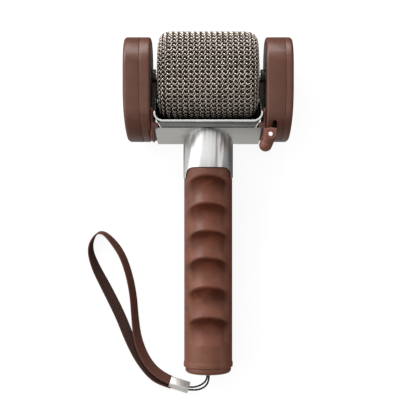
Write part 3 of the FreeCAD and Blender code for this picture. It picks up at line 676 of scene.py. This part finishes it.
def grip_sleeve():
    """The leather sleeve: dented in front, flared at its foot, and stepped down under the tube's tongues."""
    low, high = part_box("grip_sleeve")
    rows, sides = 370, 264
    y = np.linspace(low.y, high.y, rows)[:, None]
    angle = np.linspace(0, 2 * math.pi, sides, endpoint=False)[None]
    x, front = GRIP_R * np.sin(angle) + 0 * y, (np.cos(angle) > 0) + 0 * y
    yy = y + 0 * angle
    dents, upper = finger_dents(x, yy, front)
    flare = 1 - smoothstep(2.4 * MM, 4.4 * MM, yy - low.y)
    radius = GRIP_R - dents + FLARE * flare
    rim = 0.7 * MM
    inside = notch_distance(x, yy, high.y)
    covered = yy > TONGUE_TIP - 0.2 * MM
    roll = np.clip(1 - inside / rim, 0, 1)
    roll_in = rim * (1 - np.sqrt(np.clip(1 - roll ** 2, 0, 1)))
    radius -= np.where(covered & (inside > 0), roll_in, 0)
    radius = np.where(covered & (inside <= 0), TUBE_BORE - 0.05 * MM, radius)
    bottom = np.clip(1 - (yy - low.y) / FLARE, 0, 1)
    radius -= FLARE * (1 - np.sqrt(np.clip(1 - bottom ** 2, 0, 1)))
    points = np.stack([radius * np.sin(angle), yy, AXIS_Z + radius * np.cos(angle)], axis=-1)
    ends = np.array([[low.y], [high.y]]) + 0 * angle
    inner = np.stack([GRIP_BORE * np.sin(angle) + 0 * ends, ends,
                      AXIS_Z + GRIP_BORE * np.cos(angle) + 0 * ends], axis=-1)
    skin = np.concatenate([inner[:1], points, inner[1:], inner[:1]])
    faces = grid_faces(rows + 3, sides, True)
    sleeve = add_mesh("grip_wrap", skin.reshape(-1, 3), faces)
    plain = np.zeros((1, sides))
    # the painted shade of the finger dents goes to the leather through this attribute
    carry(sleeve, "worn", np.concatenate([plain, upper, plain, plain]))
    finish_piece(sleeve, LOOKS["grip_leather"], "handle", "grip_leather", "grip_sleeve")


# ---- head ----

class HeadForm:
    """The head's surface, from s along it out of the middle plane, v around it, and lift off it."""

    def __init__(self):
        """The head's section is a superellipse, kept as a table of its points by length round it."""
        turn = np.linspace(0, 2 * math.pi, 4001)
        power = 2 / HEAD_POWER
        self.y = -HEAD_HIGH * np.sign(np.cos(turn)) * np.abs(np.cos(turn)) ** power
        self.z = HEAD_DEEP * np.sign(np.sin(turn)) * np.abs(np.sin(turn)) ** power
        steps = np.hypot(np.diff(self.y), np.diff(self.z))
        self.along = np.concatenate([[0], np.cumsum(steps)])
        self.girth = self.along[-1]

    def sag(self, reach):
        return DOME_R - np.sqrt(DOME_R ** 2 - reach ** 2)

    def at(self, s, v, lift):
        """Points, and how far each lies from the head's axis."""
        around = np.mod(v, 1.0) * self.girth
        y, z = np.interp(around, self.along, self.y), np.interp(around, self.along, self.z)
        reach = np.hypot(y, z)
        unit_y, unit_z = y / reach, z / reach
        reach = reach + lift
        half = HEAD_HALF + lift
        side = np.abs(s)
        corner = half - self.sag(reach)
        start = corner - HEAD_EDGE
        bend = EDGE_ARC * HEAD_EDGE
        t = np.clip((side - start) / bend, 0, 1)
        end_reach = reach - HEAD_EDGE
        end_x = half - self.sag(end_reach)
        x = (1 - t) ** 2 * start + 2 * t * (1 - t) * corner + t ** 2 * end_x
        r = (1 - t) ** 2 * reach + 2 * t * (1 - t) * reach + t ** 2 * end_reach
        past = np.maximum(side - start - bend, 0)
        r = np.where(past > 0, end_reach - past, r)
        x = np.where(past > 0, half - self.sag(np.abs(r)), x)
        x = np.where(side < start, side, x) * np.where(s < 0, -1, 1)
        points = np.stack([x, r * unit_y, r * unit_z], axis=-1) + np.array(HEAD_CENTRE)
        return points, r


def weave_wires(form, slant):
    """The centre lines of all wires that slant one way. Each is a flat helix: it goes over the others
    beside a hole and under them above it, and swings in between towards the narrow eyes."""
    rows = 4 * int(round(form.girth / WEAVE_ROW / 4))
    per_cell = 12
    columns = 26
    t = np.linspace(-columns / 2, columns / 2, columns * per_cell + 1)[None]
    wire = np.arange(rows)[:, None]
    phase = 2 * math.pi * t
    swing = (0.10 if slant > 0 else 0.01) * np.sin(phase)
    u = t + swing
    v = wire + 0.5 + slant * t - slant * swing
    crimp = -slant * WEAVE_CRIMP * np.cos(phase)
    inset = WIRE_R + WEAVE_CRIMP
    return form.at(u * WEAVE_COLUMN, v / rows, crimp - inset)


def wire_tubes(name, lines, reaches, sides=6):
    """Round wires along lines, which stop short of the head's axis, as one piece."""
    vertices, faces, start = [], [], 0
    angle = np.linspace(0, 2 * math.pi, sides, endpoint=False)[None, :, None]
    axis = np.array(HEAD_CENTRE)
    for line, reach in zip(lines, reaches):
        line = line[reach > HEAD_EYE_R]
        out = line - axis
        out[:, 0] *= 0.3
        tangent = unit(np.gradient(line, axis=0))
        across = unit(np.cross(tangent, out))
        normal = np.cross(across, tangent)
        ring = line[:, None] + WIRE_R * (np.cos(angle) * normal[:, None] + np.sin(angle) * across[:, None])
        vertices.append(ring.reshape(-1, 3))
        faces.append(grid_faces(len(line), sides, True, start))
        start += len(line) * sides
    piece = add_mesh(name, np.concatenate(vertices), np.concatenate(faces))
    finish_piece(piece, LOOKS["mesh_wire"], "head", "mesh_wire", "mesh_grille")


def knit_head():
    """Wires that slant both ways, in two halves each, over the foam."""
    form = HeadForm()
    for slant, word in ((1, "rising"), (-1, "falling")):
        lines, reaches = weave_wires(form, slant)
        half = len(lines) // 2
        wire_tubes("mesh_" + word + "_wires_a", lines[:half], reaches[:half])
        wire_tubes("mesh_" + word + "_wires_b", lines[half:], reaches[half:])
    foam_body(form)


def foam_body(form):
    """The open-cell foam under the wires, with a slightly uneven skin."""
    rows, columns = 150, 260
    s = np.linspace(-46, 46, rows)[:, None] * MM + np.zeros((1, columns))
    v = np.linspace(0, 1, columns, endpoint=False)[None] + np.zeros((rows, 1))
    ripple = np.sin(v * 377.0 + s * 9100) * np.sin(v * 211.0 - s * 7300)
    points, reach = form.at(s, v, -FOAM_INSET + 0.15 * MM * ripple)
    kept = [k for k in range(rows) if reach[k].min() > FOAM_EYE_R]
    foam = add_mesh("foam_pad", points[kept].reshape(-1, 3), grid_faces(len(kept), columns, True))
    finish_piece(foam, LOOKS["foam_black"], "head", "foam_black", "foam_liner")


def cradle_contour(inset, top):
    """The cradle's inside, set in by inset, from the top of one side round to the other, in millimetres."""
    half, floor, bend = CRADLE_HALF - inset, CRADLE_FLOOR + inset, CRADLE_BEND - inset
    corner = np.linspace(0, math.pi / 2, 10)
    upright = floor + bend + (top - floor - bend) * np.linspace(0.25, 1, 4)
    x = np.concatenate([[0, half - bend - 0.5], half - bend + bend * np.sin(corner), half + 0 * upright])
    y = np.concatenate([[floor, floor], floor + bend - bend * np.cos(corner), upright])
    return np.concatenate([-x[:0:-1], x]), np.concatenate([y[:0:-1], y])


def shade_sheet(name, rows, thick):
    """A dark sheet of painted shade through rows of points in millimetres, thick millimetres through."""
    rows = np.array(rows) * MM
    piece = add_mesh(name, rows.reshape(-1, 3), grid_faces(len(rows), rows.shape[1], False))
    skin = piece.modifiers.new("thickness", "SOLIDIFY")
    skin.thickness = thick * MM
    skin.offset = 0.0
    finish_piece(piece, LOOKS["lining_black"], "handle", "rubber_black")


def cradle_shade_lining():
    """Painted shade inside the cradle: a thin dark sheet up to its lip and two crests, and a low dark wall at
    its back.
    """
    rows = []
    for z in CRADLE_ROWS:
        off_crest = max(abs(z - CREST_Z) - CREST_FLAT, 0)
        rise = max(1 - off_crest / CREST_FOOT, 0)
        x, y = cradle_contour(0.2, SHADE_SHEET_TOP + CREST_RISE * rise)
        rows.append(np.stack([x, y, np.full_like(x, z)], axis=-1))
    shade_sheet("cradle_shade_lining", rows, 0.25)
    x, y = cradle_contour(-0.6, 72.0)
    z = np.full_like(x, WALL_Z)
    reach = 33.0 + 1.8 * smoothstep(65.5, 68.5, y)
    inner_x = np.clip(x, -reach, reach)
    inner_y = np.where(np.abs(x) > reach, np.maximum(y, WALL_TOP), WALL_TOP)
    shade_sheet("cradle_shade_wall", [np.stack([x, y, z], axis=-1), np.stack([inner_x, inner_y, z], axis=-1)], 0.5)


def hub_washers():
    """Dished washers that hold the wires' ends at the head's two hubs."""
    sides = 96
    angle = np.linspace(0, 2 * math.pi, sides, endpoint=False)[None]
    r, lift = (np.array(WASHER_PROFILE) * MM).T[:, :, None]
    sag = DOME_R - np.sqrt(DOME_R ** 2 - r ** 2)
    for side, word in ((-1, "left"), (1, "right")):
        x = side * (HEAD_HALF - sag + lift * WASHER_DISH) + 0 * angle
        ring = np.stack([x, r * np.cos(angle), r * np.sin(angle)], axis=-1) + np.array(HEAD_CENTRE)
        faces = grid_faces(len(r), sides, True)
        if side < 0:
            faces = faces[:, ::-1]
        washer = add_mesh("hub_washer_" + word, ring.reshape(-1, 3), faces)
        finish_piece(washer, LOOKS["steel"], "head", "steel")


# ---- floor and lights ----

def lay_floor():
    """A wide pale floor that lights and mirrors nothing: the room's lower half does that."""
    size = 12.0
    corners = [(-size, -size, 0), (size, -size, 0), (size, size, 0), (-size, size, 0)]
    floor = add_mesh("floor", corners, [(0, 1, 2, 3)])
    floor.location.z = -0.05 * MM
    floor.data.materials.append(floor_look())
    floor.visible_diffuse = False
    floor.visible_glossy = False


def soft_light(name, place, size, power, target=(0, 0, 0.02)):
    data = bpy.data.lights.new(name, "AREA")
    data.shape = "RECTANGLE"
    data.size, data.size_y = size
    data.energy = power
    light = bpy.data.objects.new(name, data)
    light.location = place
    light.rotation_euler = (Vector(target) - Vector(place)).to_track_quat("-Z", "Y").to_euler()
    bpy.context.collection.objects.link(light)


def sky_lobe(nodes, links, direction, start, end, low, high):
    """Strength from low to high as the view turns towards a direction."""
    aim = nodes.new("ShaderNodeVectorMath")
    aim.operation = "DOT_PRODUCT"
    aim.inputs[1].default_value = direction
    links.new(nodes.new("ShaderNodeTexCoord").outputs["Generated"], aim.inputs[0])
    ramp = nodes.new("ShaderNodeMapRange")
    for socket, value in (("From Min", start), ("From Max", end), ("To Min", low), ("To Max", high)):
        ramp.inputs[socket].default_value = value
    links.new(aim.outputs["Value"], ramp.inputs["Value"])
    return ramp.outputs["Result"]


def light_studio():
    """A dim room, paler at the left, a pale floor in front, and soft boxes from the upper left."""
    world = bpy.data.worlds.new("studio")
    bpy.context.scene.world = world
    world.use_nodes = True
    nodes, links = world.node_tree.nodes, world.node_tree.links
    room = sky_lobe(nodes, links, (-0.75, 0.10, 0.65), -0.75, 0.75, 0.10, 0.47)
    front = sky_lobe(nodes, links, (0.0, -0.85, -0.53), 0.55, 1.0, 0.0, 0.60)
    side = sky_lobe(nodes, links, (-0.85, 0.0, -0.53), 0.70, 1.0, 0.0, 0.35)
    edge = sky_lobe(nodes, links, (1.0, 0.0, 0.0), 0.93, 1.0, 0.0, 0.32)
    total = room
    for lobe in (front, side, edge):
        both = nodes.new("ShaderNodeMath")
        both.operation = "ADD"
        links.new(total, both.inputs[0])
        links.new(lobe, both.inputs[1])
        total = both.outputs["Value"]
    links.new(total, nodes["Background"].inputs["Strength"])
    nodes["Background"].inputs["Color"].default_value = (1.0, 0.99, 0.975, 1)
    soft_light("left_box", (-0.75, 0.25, 0.52), (1.4, 0.98), 6.0, (0, 0.25, 0.52))
    soft_light("key_box", (-0.70, 0.75, 0.50), (0.6, 0.5), 6.0)
    soft_light("overhead", (0.0, 0.05, 1.25), (1.9, 1.2), 4.4, (0, 0.05, 0))
    soft_light("far_box", (-0.1, 0.95, 0.31), (1.0, 0.58), 9.0, (0, 0, 0.2))
    soft_light("right_strip", (0.62, 0.05, 0.36), (1.2, 0.42), 1.1, (0, 0.05, 0.36))


# ---- the whole ----

place_camera()
bpy.context.scene.view_settings.view_transform = "Standard"

cord, cord_line = lanyard_cord()
band, band_line = strap_band()
for node, (width, look, slot) in BEVELS.items():
    softened(node, width, look, slot)
taper_saddle()

grip_sleeve()
knit_head()
hub_washers()
cradle_shade_lining()

for node in frame["nodes"].values():
    for place in node.material_slots:
        key = place.material.name.split(".")[0] if place.material else ""
        place.material = LOOKS.get(key, place.material)

lay_floor()
light_studio()
